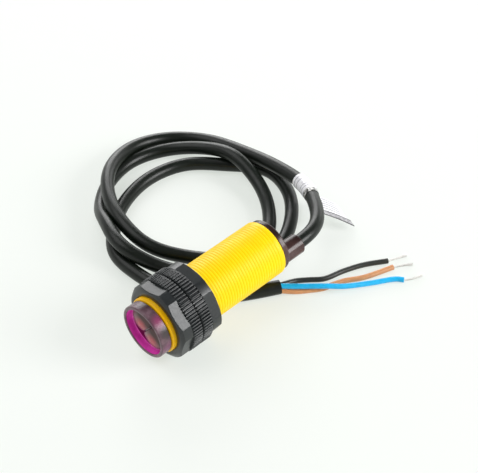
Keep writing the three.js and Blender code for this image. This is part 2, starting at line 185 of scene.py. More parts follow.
def frames_along(line):
    """The tangent and two crosswise directions at each point, carried along without twist."""
    tangents = np.gradient(line, axis=0)
    tangents /= np.linalg.norm(tangents, axis=1)[:, None]
    side = np.cross(tangents[0], [0, 0, 1])
    if np.linalg.norm(side) < 0.1:
        side = np.cross(tangents[0], [1, 0, 0])
    sides = []
    for tangent in tangents:
        side = side - tangent * side.dot(tangent)
        side = side / np.linalg.norm(side)
        sides.append(side)
    sides = np.array(sides)
    return tangents, sides, np.cross(sides, tangents)


# ---------------------------------------------------------------- meshes
def rounded(corners, steps=5):
    """An outline of (radius, along, rounding) corners, with an arc at each rounded corner."""
    outline = []
    count = len(corners)
    for i, (x, y, radius) in enumerate(corners):
        corner = np.array([x, y], float)
        if radius <= 0 or i in (0, count - 1):
            outline.append((x, y))
            continue
        before = np.array(corners[i - 1][:2], float) - corner
        after = np.array(corners[i + 1][:2], float) - corner
        before /= np.linalg.norm(before)
        after /= np.linalg.norm(after)
        half = math.acos(max(-1, min(1, before.dot(after)))) / 2
        reach = radius / math.tan(half)
        centre = corner + (before + after) / np.linalg.norm(before + after) * radius / math.sin(half)
        first = corner + before * reach - centre
        last = corner + after * reach - centre
        for k in range(steps + 1):
            arm = first * (1 - k / steps) + last * (k / steps)
            arm *= radius / np.linalg.norm(arm)
            outline.append(tuple(centre + arm))
    return outline


def circle(radius, along, facets, across=0.0, height=0.0):
    angles = np.arange(facets) * TAU / facets
    x = across + radius * np.cos(angles)
    z = height + radius * np.sin(angles)
    return np.stack([x, np.full(facets, float(along)), z], axis=1)


def mesh_object(name, vertices, faces, matrix, sharp=35):
    """An object at the origin whose mesh is in metres, smooth except at edges sharper than the angle."""
    mesh = bpy.data.meshes.new(name)
    mesh.from_pydata([tuple(v) for v in vertices], [], faces)
    mesh.transform(matrix)
    bm = bmesh.new()
    bm.from_mesh(mesh)
    bmesh.ops.remove_doubles(bm, verts=bm.verts, dist=1e-7)
    bmesh.ops.recalc_face_normals(bm, faces=bm.faces)
    bm.to_mesh(mesh)
    bm.free()
    mesh.polygons.foreach_set("use_smooth", [True] * len(mesh.polygons))
    mesh.set_sharp_from_angle(angle=math.radians(sharp))
    thing = bpy.data.objects.new(name, mesh)
    bpy.context.scene.collection.objects.link(thing)
    return thing


def ring_faces(ring_count, facets, closed, offset=0):
    faces = []
    last = ring_count if closed else ring_count - 1
    for j in range(last):
        a = offset + j * facets
        b = offset + ((j + 1) % ring_count) * facets
        for i in range(facets):
            k = (i + 1) % facets
            faces.append((a + i, a + k, b + k, b + i))
    return faces


def skin(name, rings, matrix, closed=False, sharp=35):
    """A body through rings of equally many points: a closed loop of rings, or capped at both ends."""
    rings = [np.asarray(ring) for ring in rings]
    facets = len(rings[0])
    faces = ring_faces(len(rings), facets, closed)
    if not closed:
        faces.append(tuple(range(facets)))
        faces.append(tuple((len(rings) - 1) * facets + i for i in range(facets)))
    return mesh_object(name, np.concatenate(rings), faces, matrix, sharp)


def turned(name, outline, matrix, facets=96, across=0.0, height=0.0, sharp=35):
    """A turned body: a closed outline, or one that starts and ends near the axis and is capped there."""
    closed = np.allclose(outline[0], outline[-1])
    if closed:
        outline = outline[:-1]
    rings = [circle(radius, along, facets, across, height) for radius, along in outline]
    return skin(name, rings, matrix, closed, sharp)


def tube(name, line, radius, matrix, facets=20, ends=()):
    """A round tube along a line. ends gives (distance beyond the line, radius) rings past its last point."""
    tangents, sides, ups = frames_along(line)
    radii = np.broadcast_to(radius, (len(line),))
    angles = np.arange(facets) * TAU / facets
    around = np.cos(angles)[:, None], np.sin(angles)[:, None]
    rings = [p + r * (around[0] * s + around[1] * u) for p, r, s, u in zip(line, radii, sides, ups)]
    for beyond, end_radius in ends:
        centre = line[-1] + tangents[-1] * beyond
        rings.append(centre + end_radius * (around[0] * sides[-1] + around[1] * ups[-1]))
    return skin(name, rings, matrix)


def join(name, things):
    bpy.ops.object.select_all(action="DESELECT")
    for thing in things:
        thing.select_set(True)
    bpy.context.view_layer.objects.active = things[0]
    bpy.ops.object.join()
    things[0].name = name
    return things[0]


def cut_away(thing, cutter):
    """Cuts one object out of another and drops the cutter."""
    modifier = thing.modifiers.new("cut", "BOOLEAN")
    modifier.operation = "DIFFERENCE"
    modifier.solver = "EXACT"
    modifier.object = cutter
    graph = bpy.context.evaluated_depsgraph_get()
    mesh = bpy.data.meshes.new_from_object(thing.evaluated_get(graph))
    thing.modifiers.clear()
    thing.data = mesh
    mesh.set_sharp_from_angle(angle=math.radians(30))
    bpy.data.objects.remove(cutter)


def settle(thing, body, slot, replaces, *materials):
    """Gives a piece its materials and its body, and hides the CAD nodes that it stands for; slot is not
    used.
    """
    for material in materials:
        thing.data.materials.append(material)
    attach(thing, body)
    if replaces:
        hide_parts(*replaces)
    return thing


# ---------------------------------------------------------------- materials
def rgb(red, green, blue):
    """A colour as a screen shows it, 0 to 255, in the linear values that shaders take."""
    values = []
    for v in (red, green, blue):
        v /= 255
        values.append(v / 12.92 if v <= 0.04045 else ((v + 0.055) / 1.055) ** 2.4)
    return (*values, 1)


class Paint:
    """A Principled material with procedural colour, roughness and relief in object space."""

    def __init__(self, name, roughness=0.4, **sockets):
        self.material = bpy.data.materials.new(name)
        self.material.use_nodes = True
        self.tree = self.material.node_tree
        self.shader = self.tree.nodes["Principled BSDF"]
        self.shader.inputs["Roughness"].default_value = roughness
        for socket, value in sockets.items():
            self.shader.inputs[socket.replace("_", " ")].default_value = value
        self.place = self.tree.nodes.new("ShaderNodeTexCoord").outputs["Object"]

    def noise(self, size, detail=3, stretch=(1, 1, 1)):
        """A noise pattern from 0 to 1 whose features are about size millimetres."""
        mapping = self.tree.nodes.new("ShaderNodeMapping")
        mapping.inputs["Scale"].default_value = stretch
        self.tree.links.new(self.place, mapping.inputs["Vector"])
        node = self.tree.nodes.new("ShaderNodeTexNoise")
        node.inputs["Scale"].default_value = 1 / (size * MM)
        node.inputs["Detail"].default_value = detail
        self.tree.links.new(mapping.outputs["Vector"], node.inputs["Vector"])
        return node.outputs["Fac"]

    def ramp(self, factor, stops, smooth=False):
        node = self.tree.nodes.new("ShaderNodeValToRGB")
        node.color_ramp.interpolation = "EASE" if smooth else "LINEAR"
        elements = node.color_ramp.elements
        while len(elements) < len(stops):
            elements.new(0.5)
        for element, (position, color) in zip(elements, stops):
            element.position = position
            element.color = color
        self.tree.links.new(factor, node.inputs["Fac"])
        return node.outputs["Color"]

    def mix(self, factor, first, second, blend="MIX"):
        node = self.tree.nodes.new("ShaderNodeMix")
        node.data_type = "RGBA"
        node.blend_type = blend
        sockets = (node.inputs["Factor"], node.inputs[6], node.inputs[7])
        for socket, value in zip(sockets, (factor, first, second)):
            if isinstance(value, (int, float, tuple)):
                socket.default_value = value
            else:
                self.tree.links.new(value, socket)
        return node.outputs[2]

    def distance_from(self, point, reach):
        """0 at a point of the row frame, in metres, and 1 at reach and beyond."""
        node = self.tree.nodes.new("ShaderNodeVectorMath")
        node.operation = "DISTANCE"
        node.inputs[1].default_value = point
        self.tree.links.new(self.place, node.inputs[0])
        scaled = self.tree.nodes.new("ShaderNodeMath")
        scaled.operation = "DIVIDE"
        scaled.use_clamp = True
        scaled.inputs[1].default_value = reach
        self.tree.links.new(node.outputs["Value"], scaled.inputs[0])
        return scaled.outputs["Value"]

    def along(self, point, direction, length):
        """0 at a point and 1 a length further in a direction, in metres, held at both ends."""
        direction = Vector(direction).normalized()
        node = self.tree.nodes.new("ShaderNodeVectorMath")
        node.operation = "DOT_PRODUCT"
        node.inputs[1].default_value = direction
        self.tree.links.new(self.place, node.inputs[0])
        span = self.tree.nodes.new("ShaderNodeMapRange")
        start = Vector(point).dot(direction)
        span.inputs["From Min"].default_value = start
        span.inputs["From Max"].default_value = start + length
        self.tree.links.new(node.outputs["Value"], span.inputs["Value"])
        return span.outputs["Result"]

    def color(self, source):
        self.tree.links.new(source, self.shader.inputs["Base Color"])

    def vary_roughness(self, low, high, size):
        stops = [(0.3, (low, low, low, 1)), (0.7, (high, high, high, 1))]
        spread = self.ramp(self.noise(size), stops)
        self.tree.links.new(spread, self.shader.inputs["Roughness"])

    def relief(self, *patterns):
        """Bump from (pattern, depth in millimetres) pairs, one on top of the other."""
        normal = None
        for pattern, depth in patterns:
            bump = self.tree.nodes.new("ShaderNodeBump")
            bump.inputs["Strength"].default_value = 1
            bump.inputs["Distance"].default_value = depth * MM
            self.tree.links.new(pattern, bump.inputs["Height"])
            if normal is not None:
                self.tree.links.new(normal, bump.inputs["Normal"])
            normal = bump.outputs["Normal"]
        self.tree.links.new(normal, self.shader.inputs["Normal"])


def shades(color, spread):
    """The colour a little darker and a little lighter."""
    dark = tuple(c * (1 - spread) for c in color[:3])
    light = tuple(min(1, c * (1 + spread)) for c in color[:3])
    return [(0.3, (*dark, 1)), (0.7, (*light, 1))]


def moulded(name, color, roughness=0.4, grain=0.12, depth=0.0015, spread=0.06, **sockets):
    """Injection-moulded plastic: a fine even grain, faint flow shading and an uneven gloss."""
    paint = Paint(name, roughness, **sockets)
    paint.color(paint.ramp(paint.noise(4, 4), shades(color, spread)))
    paint.vary_roughness(roughness * 0.85, roughness * 1.15, 1.5)
    paint.relief((paint.noise(grain, 4), depth), (paint.noise(2.5, 2), depth * 4))
    return paint.material


def barrel_plastic():
    """Yellow, a little deeper and warmer at the front of the barrel."""
    depth = {"Subsurface_Weight": 0.12, "Subsurface_Scale": 0.8 * MM}
    paint = Paint("yellow plastic", 0.4, Specular_IOR_Level=0.18, **depth)
    paint.shader.inputs["Subsurface Radius"].default_value = (1, 0.55, 0.1)
    rear = paint.along(FRONT + AXIS * 2 * MM, AXIS, 16 * MM)
    tone = paint.ramp(rear, [(0, rgb(255, 194, 0)), (1, rgb(255, 211, 0))])
    flow = paint.ramp(paint.noise(5, 3), [(0.3, (0.95, 0.95, 0.9, 1)), (0.7, (1, 1, 1, 1))])
    paint.color(paint.mix(1.0, tone, flow, "MULTIPLY"))
    paint.vary_roughness(0.36, 0.46, 1.2)
    paint.relief((paint.noise(0.1, 4), 0.0012))
    return paint.material


def nut_plastic():
    """Dark grey glass-filled nylon: a slightly mottled satin skin."""
    paint = Paint("nut plastic", 0.32)
    grey = paint.ramp(paint.noise(0.7, 5), [(0.3, rgb(26, 30, 31)), (0.7, rgb(36, 40, 41))])
    cloud = paint.ramp(paint.noise(5, 2), [(0.3, (0.9, 0.9, 0.9, 1)), (0.7, (1, 1, 1, 1))])
    paint.color(paint.mix(1.0, grey, cloud, "MULTIPLY"))
    paint.vary_roughness(0.28, 0.36, 0.6)
    paint.relief((paint.noise(0.08, 4), 0.002), (paint.noise(1.2, 2), 0.006))
    return paint.material


def cable_rubber():
    """Soft black jacket: smooth, with a faint unevenness in its colour and gloss."""
    paint = Paint("cable rubber", 0.34, Specular_IOR_Level=0.3)
    paint.color(paint.ramp(paint.noise(2.2, 4), shades(rgb(15, 21, 15), 0.25)))
    paint.vary_roughness(0.3, 0.38, 1.4)
    paint.relief((paint.noise(0.12, 4), 0.0004), (paint.noise(5, 2), 0.008))
    return paint.material


def wire_plastic(name, color):
    roughness = 0.38
    paint = Paint(name, roughness, Subsurface_Weight=0.1, Subsurface_Scale=0.0005)
    paint.color(paint.ramp(paint.noise(1.4, 4), shades(color, 0.09)))
    paint.vary_roughness(roughness * 0.85, roughness * 1.2, 0.8)
    paint.relief((paint.noise(0.1, 4), 0.001), (paint.noise(1.6, 2), 0.008))
    return paint.material


def metal(name, color, roughness):
    paint = Paint(name, roughness, Metallic=1.0)
    paint.color(paint.ramp(paint.noise(0.5, 5), shades(color, 0.12)))
    paint.vary_roughness(roughness * 0.7, roughness * 1.3, 0.3)
    paint.relief((paint.noise(0.07, 4), 0.002))
    return paint.material


def smoked(name, dark, light, roughness=0.16, size=2.5):
    """Tinted glossy plastic whose depth shows as slow clouds of colour."""
    paint = Paint(name, roughness, Coat_Weight=0.35, Coat_Roughness=0.08)
    paint.color(paint.ramp(paint.noise(size, 3), [(0.35, dark), (0.65, light)], smooth=True))
    paint.vary_roughness(roughness * 0.8, roughness * 1.3, 1.0)
    paint.relief((paint.noise(0.3, 3), 0.001), (paint.noise(2, 2), 0.006))
    return paint.material


# ---------------------------------------------------------------- the cable, its wires and its label
def jacket_line():
    """The cable's centreline: out of the end cap, straight through the boss, and along its route."""
    inside = [WORKS @ Vector((BOSS["offset"], along, 0)) / MM for along in (47.0, 50.0, 53.0)]
    return eased(smooth_line([tuple(p) for p in inside] + CABLE_ROUTE))


cable_line = jacket_line()
ROUTE_START = 9.0  # along the cable, from its start inside the boss to about the first point of its route


def make_cable():
    """The jacket, with a rounded and slightly hollow cut end."""
    black = cable_rubber()
    lip = [(0.05, CABLE_RADIUS - 0.05), (0.12, CABLE_RADIUS - 0.2)]
    hollow = [(0.1, 1.75), (-0.5, 1.7), (-0.9, 1.6)]
    jacket = tube("cable_jacket_soft", cable_line, CABLE_RADIUS, TABLE, 28, lip + hollow)
    return settle(jacket, "housing", "cable_black", ["cable_jacket", "cable_tail"], black)


def make_wires():
    colors = {"brown": rgb(204, 142, 94), "black": rgb(40, 43, 38), "blue": rgb(14, 176, 232)}
    tinned = metal("tinned copper", rgb(228, 226, 222), 0.4)
    made = []
    for name, route in WIRES.items():
        line = smooth_line(route, 14)
        inward = line[0] - (line[1] - line[0]) / np.linalg.norm(line[1] - line[0]) * 1.0
        line = np.concatenate([[inward], line])
        ends = [(0.04, WIRE_RADIUS - 0.06), (0.06, 0.5), (-0.25, 0.45)]
        wire = tube(f"wire_{name}_soft", line, WIRE_RADIUS, TABLE, 20, ends)
        paint = wire_plastic(f"{name} insulation", colors[name])
        settle(wire, "housing", f"wire_{name}", [f"wire_{name}"], paint)
        strands = make_strands(name, tinned)
        made.append((wire, strands, line))
    return made


def make_strands(name, tinned):
    """Seven twisted and tinned strands that open out a little at their end."""
    core = smooth_line(TIPS[name], 10)
    start = core[0] - (core[1] - core[0]) / np.linalg.norm(core[1] - core[0]) * 0.8
    core = np.concatenate([[start], core])
    along = distances(core)
    _, sides, ups = frames_along(core)
    share = along / along[-1]
    strands = []
    for k in range(7):
        spread = 0.0 if k == 6 else 1.0
        reach = spread * (0.22 + 0.3 * share**4)
        turn = k * TAU / 6 + share * (4.4 + 0.25 * math.sin(2.3 * k))
        path = core + reach[:, None] * (np.cos(turn)[:, None] * sides + np.sin(turn)[:, None] * ups)
        trimmed = path[: len(path) - (k * 5) % 3]
        strands.append(tube(f"strand_{name}_{k}", trimmed, 0.11, TABLE, 8))
    bundle = join(f"strands_{name}", strands)
    return settle(bundle, "housing", "tinned_copper", [f"tip_{name}"], tinned)


def wrap(name, start, end, bore, thickness, count=16, facets=40):
    """A sleeve round the cable between two distances along its route, with rolled edges."""
    line = stretch(cable_line, ROUTE_START + start, ROUTE_START + end, count)
    _, sides, ups = frames_along(line)
    angles = np.arange(facets) * TAU / facets
    cos, sin = np.cos(angles)[:, None], np.sin(angles)[:, None]
    outer = bore + thickness
    rings = [p + (outer - (0.06 if count > 2 and i in (0, count - 1) else 0)) * (cos * s + sin * u)
             for i, (p, s, u) in enumerate(zip(line, sides, ups))]
    rings += [p + bore * (cos * s + sin * u) for p, s, u in zip(line[::-1], sides[::-1], ups[::-1])]
    return skin(name, rings, TABLE, closed=True)


def label_paper():
    paint = Paint("label paper", 0.3, Coat_Weight=0.3, Coat_Roughness=0.1)
    paint.color(paint.ramp(paint.noise(1.5, 3), [(0.3, rgb(226, 226, 230)), (0.7, rgb(240, 240, 242))]))
    paint.vary_roughness(0.25, 0.38, 1.0)
    paint.relief((paint.noise(0.6, 3), 0.004))
    return paint.material


def label_film():
    """Clear film, painted as streaks: dark where the black cable shows through, pale where painted
    highlights stand for its glints.
    """
    paint = Paint("label film", 0.12, Coat_Weight=0.6, Coat_Roughness=0.05)
    cable_and_glint_streaks = paint.noise(0.9, 3, (1, 1, 0.6))
    # Painted highlight: the grey and near-white stops paint the film's glints; the dark stop is the cable
    # seen through it.
    stops = [(0.42, rgb(46, 46, 44)), (0.56, rgb(150, 150, 146)), (0.66, rgb(222, 222, 218))]
    paint.color(paint.ramp(cable_and_glint_streaks, stops))
    paint.relief((paint.noise(1.0, 3), 0.03))
    return paint.material


def flag_point(share, across, lift=0.0):
    """A point of the label's flag: share of its length, millimetres across it, and height above its face."""
    along = FLAG_TIP - FLAG_ROOT
    sideways = FLAG_ACROSS / np.linalg.norm(FLAG_ACROSS)
    normal = np.cross(sideways, along)
    normal /= np.linalg.norm(normal)
    if normal[2] < 0:
        normal = -normal
    bow = 0.9 * math.sin(math.pi * share) * (0.4 + 0.6 * across / FLAG_WIDTH)
    return FLAG_ROOT + along * share + sideways * across + normal * (bow + lift)


def flag_patch(name, shares, spans, lift, thickness):
    """A thin curved patch of the flag. spans gives (near, far) millimetres across it at each share."""
    columns = 10
    top = []
    for share, (near, far) in zip(shares, spans):
        top.append([flag_point(share, near + (far - near) * c / columns, lift) for c in range(columns + 1)])
    bottom = []
    for share, (near, far) in zip(shares, spans):
        bottom.append([flag_point(share, near + (far - near) * c / columns, lift - thickness)
                       for c in range(columns + 1)])
    rings = [np.array(a + b[::-1]) for a, b in zip(top, bottom)]
    return skin(name, rings, TABLE)


def make_label():
    paper = label_paper()
    film = label_film()
    print_grey = moulded("label print", rgb(134, 134, 142), 0.4)
    strip_grey = smoked("label strip", rgb(132, 130, 134), rgb(172, 170, 174), 0.3, 1.2)
    edge_grey = moulded("label edge", rgb(70, 70, 72), 0.3)
    sleeve = wrap("label_sleeve_paper", LABEL["sleeve"], LABEL["end"], LABEL["bore"], LABEL["paper"])
    settle(sleeve, "housing", "label_white", ["label_sleeve"], paper)
    band = wrap("label_band_film", LABEL["band"], LABEL["sleeve"] + 0.1, LABEL["bore"], LABEL["film"], 8)
    settle(band, "housing", "label_film", ["label_band"], film)
    bars = []
    for i, at in enumerate((29.2, 30.6, 33.6, 35.2)):
        bars.append(wrap(f"sleeve_bar_{i}", at, at + 0.22, LABEL["bore"] + LABEL["paper"] - 0.05, 0.065, 2))
    bars = join("label_sleeve_bars", bars)
    settle(bars, "housing", "label_white", [], print_grey)
    shares = np.linspace(0, 1, 15)
    strip_width = [2.2 + 1.2 * s for s in shares]
    sheet = flag_patch("label_flag_sheet", shares * 0.93, [(w, FLAG_WIDTH) for w in strip_width], 0.0, 0.1)
    settle(sheet, "housing", "label_white", ["label_flag"], paper)
    strip = flag_patch("label_flag_strip", shares, [(0, w) for w in strip_width], -0.02, 0.12)
    settle(strip, "housing", "label_film", [], strip_grey)
    edges = []
    for near, far in (((0, 0.35), (0, 0.35)), ((1.95, 2.3), (3.1, 3.5))):
        spans = [(near[0] + (far[0] - near[0]) * s, near[1] + (far[1] - near[1]) * s) for s in shares]
        edges.append(flag_patch("edge", shares, spans, 0.03, 0.2))
    edges = join("label_flag_edges", edges)
    settle(edges, "housing", "label_film", [], edge_grey)
    rows = []
    for k in range(5):
        at = 4.4 + 1.55 * k
        line_shares = np.linspace(0.16, 0.8, 9)
        rows.append(flag_patch("row", line_shares, [(at, at + 0.42)] * 9, 0.02, 0.06))
    rows = join("label_flag_bars", rows)
    settle(rows, "housing", "label_white", [], print_grey)
    return [sleeve, band, bars, sheet, strip, edges, rows]


jacket = make_cable()
wires = make_wires()
label_pieces = make_label()


# ---------------------------------------------------------------- barrel
def thread_rows(angles):
    """Rows of points that climb one pitch per turn, held between the thread's ends, and rows per pitch."""
    start, end = THREAD["nose"], BARREL["length"] - THREAD["tail"]
    per_pitch = THREAD["rows_per_pitch"]
    count = int((end - start) / THREAD["pitch"] + 2) * per_pitch
    rows = []
    for k in range(count + 1):
        climb = THREAD["pitch"] * (k / per_pitch + angles / TAU - 1)
        along = np.clip(start + climb, start, end)
        fade = np.clip(np.minimum((along - start) / 0.8, (end - along) / 0.4), 0, 1)
        valley = math.exp(-(((k / per_pitch % 1 - 0.5) / THREAD["valley_width"]) ** 2))
        radius = BARREL["radius"] - THREAD["depth"] * fade * valley
        rows.append(np.stack([radius * np.cos(angles), along, radius * np.sin(angles)], axis=1))
    return rows, per_pitch


def make_barrel():
    """A smooth nose, a right-hand thread with broad crests, a smooth rear band, and the bore."""
    facets = 160
    angles = np.arange(facets) * TAU / facets
    radius, bore, length = BARREL["radius"], BARREL["bore"], BARREL["length"]
    rows, per_pitch = thread_rows(angles)
    nose = [(bore, 0.0), (radius - 0.35, 0.0), (radius - 0.13, 0.1)]
    nose += [(radius, 0.35), (radius, THREAD["nose"])]
    tail = [(radius, length - THREAD["tail"]), (radius, length - 0.35), (radius - 0.13, length - 0.1)]
    tail += [(radius - 0.35, length), (bore, length)]
    rings = [circle(r, along, facets) for r, along in nose]
    rings += rows
    rings += [circle(r, along, facets) for r, along in tail]
    faces = ring_faces(len(rings), facets, closed=True)
    first, last = len(nose), len(nose) + len(rows) - 1
    joined = {(j * facets + facets - 1, j * facets) for j in range(first, last)}
    faces = [face for face in faces if (face[0], face[1]) not in joined]
    for j in range(first, last - per_pitch):
        near, far = j * facets + facets - 1, (j + per_pitch) * facets
        faces.append((near, far, far + facets, near + facets))
    barrel = mesh_object("barrel_shell", np.concatenate(rings), faces, SENSOR, sharp=50)
    return settle(barrel, "housing", "yellow_plastic", ["barrel"], barrel_plastic())


# ---------------------------------------------------------------- nuts
def softest(*radii):
    """The smallest of several radii, blended where two are close, so that the edge between is rounded."""
    blend = 0.014
    total = sum(np.exp(-(np.asarray(r) - 9) / blend) for r in radii)
    return 9 - blend * np.log(total)


def hexagon_radius(along, angles, face, flat_angle):
    """The hexagon with rounded corners under a cone that chamfers its end."""
    cone = face + along * 1.6
    folded = (angles - math.radians(flat_angle) + TAU / 12) % (TAU / 6) - TAU / 12
    flat = NUT["flat"] / np.cos(folded)
    return softest(flat, np.full_like(angles, NUT["corner"]), np.full_like(angles, cone))


def rib_radius(along, angles):
    """The flange: ribs along the axis with rounded tops and ends, and grooves between them."""
    start, end = NUT["hex"], NUT["length"]
    inset = min(along - start, end - along)
    end_round = 0.32
    drop = 0.0
    if inset < end_round:
        drop = end_round - math.sqrt(max(0, end_round**2 - (end_round - inset) ** 2))
    phase = (angles * NUT["ribs"] / TAU) % 1.0
    across = np.abs(phase - 0.5) * 2
    groove = np.clip((across - 0.42) / 0.3, 0, 1)
    groove = groove * groove * (3 - 2 * groove)
    top = NUT["flange"] - drop - 0.06 * (across / 0.42).clip(0, 1) ** 2
    bottom = NUT["flange"] - 0.62
    return top + (bottom - top) * groove


def make_nut(name, spec, material):
    """A nut whose hexagon faces forward or back and whose ribbed flange is at the seam."""
    facets = NUT["ribs"] * 8
    angles = np.arange(facets) * TAU / facets

    def ring(radius, along):
        radius = np.broadcast_to(radius, (facets,))
        sign = 1 if spec["forward"] else -1
        return np.stack([
            radius * np.cos(angles),
            np.full(facets, spec["hex_end"] + sign * along),
            radius * np.sin(angles),
        ], axis=1)

    face = spec["face"]
    rings = [ring(NUT["bore"], NUT["length"] - 0.2), ring(NUT["bore"], 0.25), ring(NUT["bore"] + 0.08, 0.08)]
    rings += [ring(NUT["bore"] + 0.25, 0.0), ring(face - 0.3, 0.0)]
    for along in (0.03, 0.1, 0.2, 0.3, 0.4, 0.5, 0.6, 0.7, 0.8, 0.9, 1.0, 1.2, 1.6, 2.4, 3.2, NUT["hex"]):
        inset = 0.18 * max(0, 1 - along / 0.25) ** 2
        rings.append(ring(hexagon_radius(along, angles, face, spec["flat_angle"]) - inset, along))
    ledge = np.minimum(hexagon_radius(NUT["hex"], angles, face, spec["flat_angle"]), NUT["flange"] - 0.66)
    rings.append(ring(ledge, NUT["hex"] + 0.01))
    rib_stations = [0.01, 0.04, 0.1, 0.2, 0.32, 1.0, 1.8, 2.6, 3.28, 3.4, 3.5, 3.56, 3.59]
    for station in rib_stations:
        rings.append(ring(rib_radius(NUT["hex"] + station, angles), NUT["hex"] + station))
    rings.append(ring(NUT["flange"] - 0.7, NUT["length"]))
    rings.append(ring(NUT["bore"] + 0.2, NUT["length"]))
    nut = skin(f"{name}_ribbed", rings, SENSOR, closed=True, sharp=60)
    return settle(nut, name, "nut_plastic", [name], material)


# ---------------------------------------------------------------- lens cap
def make_lens_cap():
    radius, recess, front, floor = (LENS_CAP[k] for k in ("radius", "recess", "front", "floor"))
    wall = rounded([
        (recess - 0.9, floor, 0), (recess, floor, 0.35), (recess + 0.05, front, 0.3), (radius, front, 0.4),
        (radius, -0.3, 0.15), (7.4, -0.3, 0.1), (7.3, 3.5, 0.2), (6.5, 3.5, 0.1), (6.5, 0.2, 0.3),
        (0.5, 0.2, 0),
    ], 6)
    outline = [(0.5, floor)] + wall
    cap = turned("lens_cap_body", outline, WORKS, 128)
    # Painted reflections on the outside, and a painted glow on the inner wall.
    outer = lens_cap_outside()
    inner = inner_wall_glow_paint()
    base = lens_floor_paint()
    settle(cap, "housing", "infrared_window", ["lens_cap"], outer, inner, base)
    frame_inverse = WORKS.inverted()
    for polygon in cap.data.polygons:
        centre = frame_inverse @ polygon.center
        reach = math.hypot(centre.x, centre.z)
        if reach < recess - 0.3 and centre.y < 0:
            polygon.material_index = 2
        elif reach < recess + 0.08 and front + 0.28 < centre.y < -0.4:
            polygon.material_index = 1
    return cap


def lens_cap_outside():
    """Smoky purple-grey, with painted reflections: a dark red patch on top, a magenta painted highlight on
    the side, and dark grey and lilac patches further round.
    """
    paint = Paint("lens cap outside", 0.26, Specular_IOR_Level=0.35)
    tone = paint.ramp(paint.noise(2.4, 3), [(0.35, rgb(88, 66, 74)), (0.65, rgb(116, 90, 99))], True)

    def painted_reflection_patch(angle, reach, color, tone):
        turn = math.radians(angle)
        radius = LENS_CAP["radius"]
        centre = SENSOR @ Vector((radius * math.cos(turn), -1.2, radius * math.sin(turn)))
        near = paint.distance_from(centre, reach * MM)
        cover = paint.ramp(near, [(0.1, (1, 1, 1, 1)), (1.0, (0, 0, 0, 1))], True)
        return paint.mix(cover, tone, color)

    # Painted reflections of the lights and the room on the glossy cap: a dark patch on top, a magenta
    # highlight, a dark grey patch and a lilac patch.
    tone = painted_reflection_patch(98, 3.4, rgb(58, 26, 38), tone)
    tone = painted_reflection_patch(52, 3.2, rgb(132, 54, 92), tone)
    tone = painted_reflection_patch(26, 3.0, rgb(66, 58, 58), tone)
    tone = painted_reflection_patch(-12, 3.6, rgb(112, 62, 92), tone)
    paint.color(tone)
    paint.relief((paint.noise(2, 2), 0.006), (paint.noise(0.3, 3), 0.001))
    return paint.material


def inner_wall_glow_paint():
    """The recess's wall, painted bright magenta and given a faint emission as a painted stand-in for light
    that comes through the tinted rim.
    """
    paint = Paint("lens cap inner wall glow", 0.14)
    tint = paint.ramp(paint.noise(3, 2), [(0.35, rgb(176, 40, 138)), (0.65, rgb(214, 76, 176))])
    paint.color(tint)
    # Painted glow: a faint magenta emission stands in for light coming through the rim; the wall is no lamp.
    paint.shader.inputs["Emission Color"].default_value = rgb(210, 50, 160)
    paint.shader.inputs["Emission Strength"].default_value = 0.22
    paint.relief((paint.noise(1.5, 2), 0.004))
    return paint.material


def lens_floor_paint():
    paint = Paint("lens cap floor", 0.3, Specular_IOR_Level=0.2)
    centre = WORKS @ Vector((0, LENS_CAP["floor"], 0))
    reach = paint.distance_from(centre, 7.4 * MM)
    paint.color(paint.ramp(reach, [(0.3, rgb(70, 24, 40)), (0.8, rgb(92, 10, 54)), (1.0, rgb(124, 14, 84))]))
    paint.relief((paint.noise(1.5, 2), 0.004))
    return paint.material


def lens_paint(name, centre):
    """A lens over the works, with painted light and shade: grey-pink low down, painted shade in dark brown
    higher up, and a painted red glow in the middle.
    """
    paint = Paint(name, 0.2, Specular_IOR_Level=0.35)
    turn = WORKS.to_3x3()
    up = (turn @ Vector((0, 0, 1))).normalized()
    radius = LENS["radius"] * MM
    # Painted light and shade: lighter grey-pink low down, painted shade in dark brown higher up.
    light_and_shade_bands = paint.along(centre - up * radius, up, 2 * radius)
    tint = paint.ramp(light_and_shade_bands, [
        (0.0, rgb(154, 122, 128)),
        (0.35, rgb(132, 96, 102)),
        (0.62, rgb(104, 72, 76)),
        (0.78, rgb(66, 44, 42)),
        (1.0, rgb(92, 66, 66)),
    ])
    # Painted red glow in the middle of the lens, though no lamp is there.
    glow = paint.distance_from(centre + turn @ Vector((0.5, 0, -0.3)), 3.5 * MM)
    cover = paint.ramp(glow, [(0.0, (1, 1, 1, 1)), (1.0, (0, 0, 0, 1))], smooth=True)
    tint = paint.mix(cover, tint, rgb(222, 40, 58))
    cloud = paint.ramp(paint.noise(1.3, 3), [(0.3, (0.78, 0.78, 0.78, 1)), (0.7, (1, 1, 1, 1))])
    paint.color(paint.mix(1.0, tint, cloud, "MULTIPLY"))
    paint.relief((paint.noise(1.2, 2), 0.004))
    return paint.material


def lens_reach(angle, side):
    """How far the D-shaped outline is from the middle of its round, at an angle across the works."""
    across = side * math.cos(angle)
    if across >= 0:
        return LENS["radius"]
    chord = LENS["offset"] - LENS["divider"]
    return min(LENS["radius"], chord / -across)


